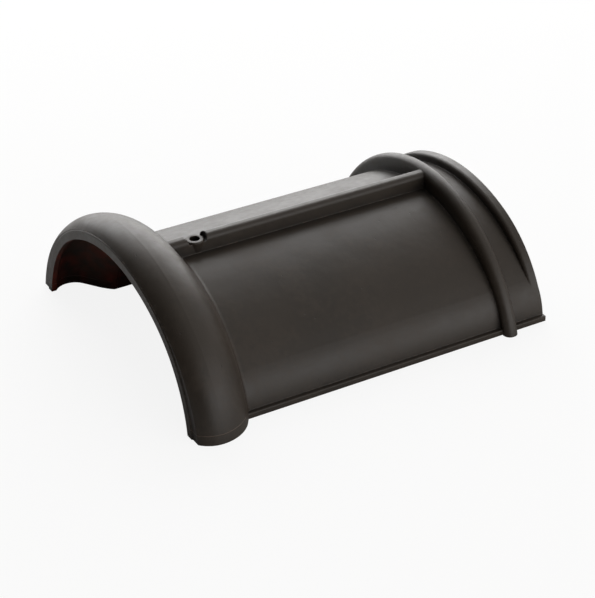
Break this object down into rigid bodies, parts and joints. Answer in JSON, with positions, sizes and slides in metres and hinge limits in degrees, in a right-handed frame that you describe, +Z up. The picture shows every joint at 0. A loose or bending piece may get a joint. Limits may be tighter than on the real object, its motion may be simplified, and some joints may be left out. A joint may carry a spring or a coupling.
{
  "type": "half round ridge tile",
  "caption": "Half round clay ridge tile with a bulged collar at one end, a ringed spigot at the other, a comb along the crown and a screw hole.",
  "frame": {"origin": "midway between the two ends and between the two lower edges, on the plane that the lower edges lie on", "axes": "+X along the ridge from the collar to the spigot, +Y across the ridge, +Z up through the crown"},
  "size_m": [0.39, 0.3436, 0.1304],
  "materials": {
    "engobed_clay": "matt to satin dark brown engobe outside, bare red-brown clay inside"
  },
  "bodies": {
    "root": {"ridge_tile": "engobed_clay"}
  },
  "joints": []
}
